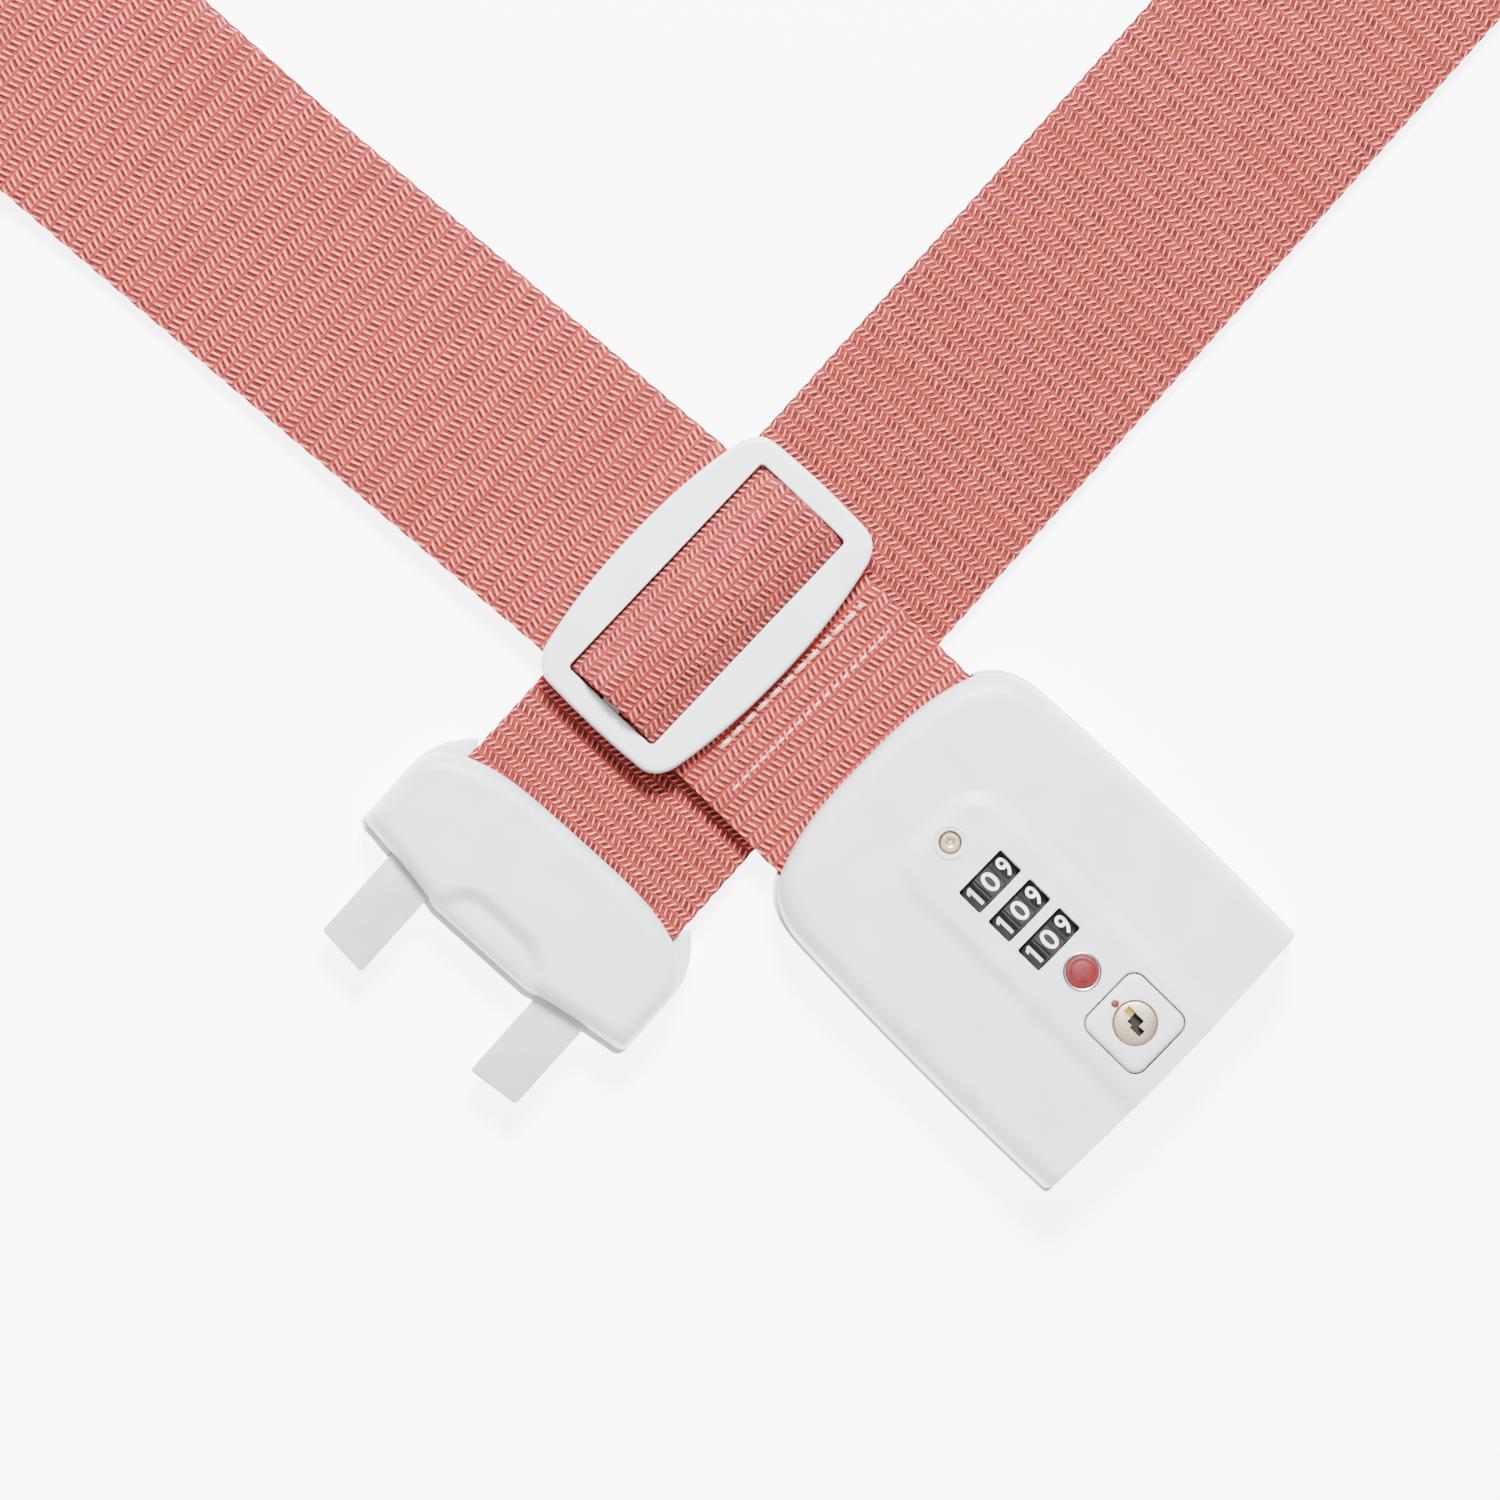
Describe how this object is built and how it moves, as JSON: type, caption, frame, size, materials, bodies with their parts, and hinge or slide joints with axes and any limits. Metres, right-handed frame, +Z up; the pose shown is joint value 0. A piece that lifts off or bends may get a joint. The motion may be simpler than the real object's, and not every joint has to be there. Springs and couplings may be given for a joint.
{
  "type": "luggage strap",
  "caption": "Woven luggage strap, folded into a loop on a table, with a dial combination lock buckle, a pronged buckle and a sliding adjuster.",
  "frame": {"origin": "the middle of the lock housing's flat underside, on the table", "axes": "+X out of the mouth of the lock housing and along the part's longest side, +Y to the left of that, +Z up from the table"},
  "size_m": [0.4097, 0.3555, 0.0171],
  "materials": {
    "housing_plastic": "satin",
    "slider_plastic": "satin",
    "webbing": "woven",
    "steel": "satin",
    "dial_plastic": "gloss",
    "brass": "satin",
    "zinc": "cast",
    "nickel_silver": "satin",
    "badge_enamel": "gloss"
  },
  "bodies": {
    "strap": {"webbing_upper_run": "webbing", "webbing_lower_run": "webbing", "webbing_sewn_tail": "webbing"},
    "lock": {"lock_top_cover": "housing_plastic", "lock_bottom_cover": "housing_plastic", "lock_webbing_bar": "steel", "dial_shaft": "steel", "dial_spring": "steel", "locking_fence": "zinc", "reset_spring": "steel", "latch_spring_left": "steel", "latch_spring_right": "steel", "badge": "badge_enamel", "lock_screw_1": "steel", "lock_screw_2": "steel", "lock_screw_3": "steel", "lock_screw_4": "steel", "webbing_lock_end": "webbing"},
    "dial_1": {"dial_wheel_1": "dial_plastic", "dial_sleeve_1": "brass"},
    "dial_2": {"dial_wheel_2": "dial_plastic", "dial_sleeve_2": "brass"},
    "dial_3": {"dial_wheel_3": "dial_plastic", "dial_sleeve_3": "brass"},
    "reset": {"reset_pin": "steel"},
    "button": {"release_button": "housing_plastic"},
    "key": {"key_cylinder": "nickel_silver", "cylinder_cam": "steel"},
    "latch": {"latch_plate": "steel"},
    "male": {"male_top_shell": "housing_plastic", "male_bottom_shell": "housing_plastic", "prong_frame": "housing_plastic", "male_webbing_bar": "steel", "male_screw_1": "steel", "male_screw_2": "steel", "webbing_male_end": "webbing"},
    "slider": {"slider_frame": "slider_plastic", "webbing_sewn_end": "webbing", "webbing_hump": "webbing"}
  },
  "joints": [
    {"name": "lock_flex", "type": "hinge", "parent": "strap", "child": "lock", "pos_m": [-0.049, 0, 0.00764], "axis": [0, -1, 0], "range_deg": [0, 60]},
    {"name": "male_flex", "type": "hinge", "parent": "strap", "child": "male", "pos_m": [-0.06808, -0.03712, 0.0049], "axis": [-0.9991, -0.0419, 0], "range_deg": [0, 60]},
    {"name": "slider_slide", "type": "slide", "parent": "strap", "child": "slider", "axis": [-0.997, -0.0697, -0.0336], "range_m": [0, 0.085]},
    {"name": "dial_1_turn", "type": "hinge", "parent": "lock", "child": "dial_1", "pos_m": [-0.008, 0, 0.01], "axis": [1, 0, 0], "continuous": true},
    {"name": "dial_2_turn", "type": "hinge", "parent": "lock", "child": "dial_2", "pos_m": [-0.0004, 0, 0.01], "axis": [1, 0, 0], "continuous": true},
    {"name": "dial_3_turn", "type": "hinge", "parent": "lock", "child": "dial_3", "pos_m": [0.0072, 0, 0.01], "axis": [1, 0, 0], "continuous": true},
    {"name": "reset_press", "type": "slide", "parent": "lock", "child": "reset", "axis": [0, 0, -1], "range_m": [0, 0.0015], "stiffness_N_per_m": 300, "springref_m": -0.001, "deforming": ["reset_spring"]},
    {"name": "release_press", "type": "slide", "parent": "lock", "child": "button", "axis": [0, 0, -1], "range_m": [0, 0.001], "stiffness_N_per_m": 500, "springref_m": -0.001},
    {"name": "key_turn", "type": "hinge", "parent": "button", "child": "key", "pos_m": [0.0293, 0, 0.0121], "axis": [0, 0, 1], "range_deg": [0, 90]},
    {"name": "latch_press", "type": "slide", "parent": "lock", "child": "latch", "axis": [0, 0, -1], "range_m": [0, 0.001], "deforming": ["latch_spring_left", "latch_spring_right"]}
  ],
  "couplings": [
    {"joint": "latch_press", "follows": "release_press", "ratio": 1}
  ]
}
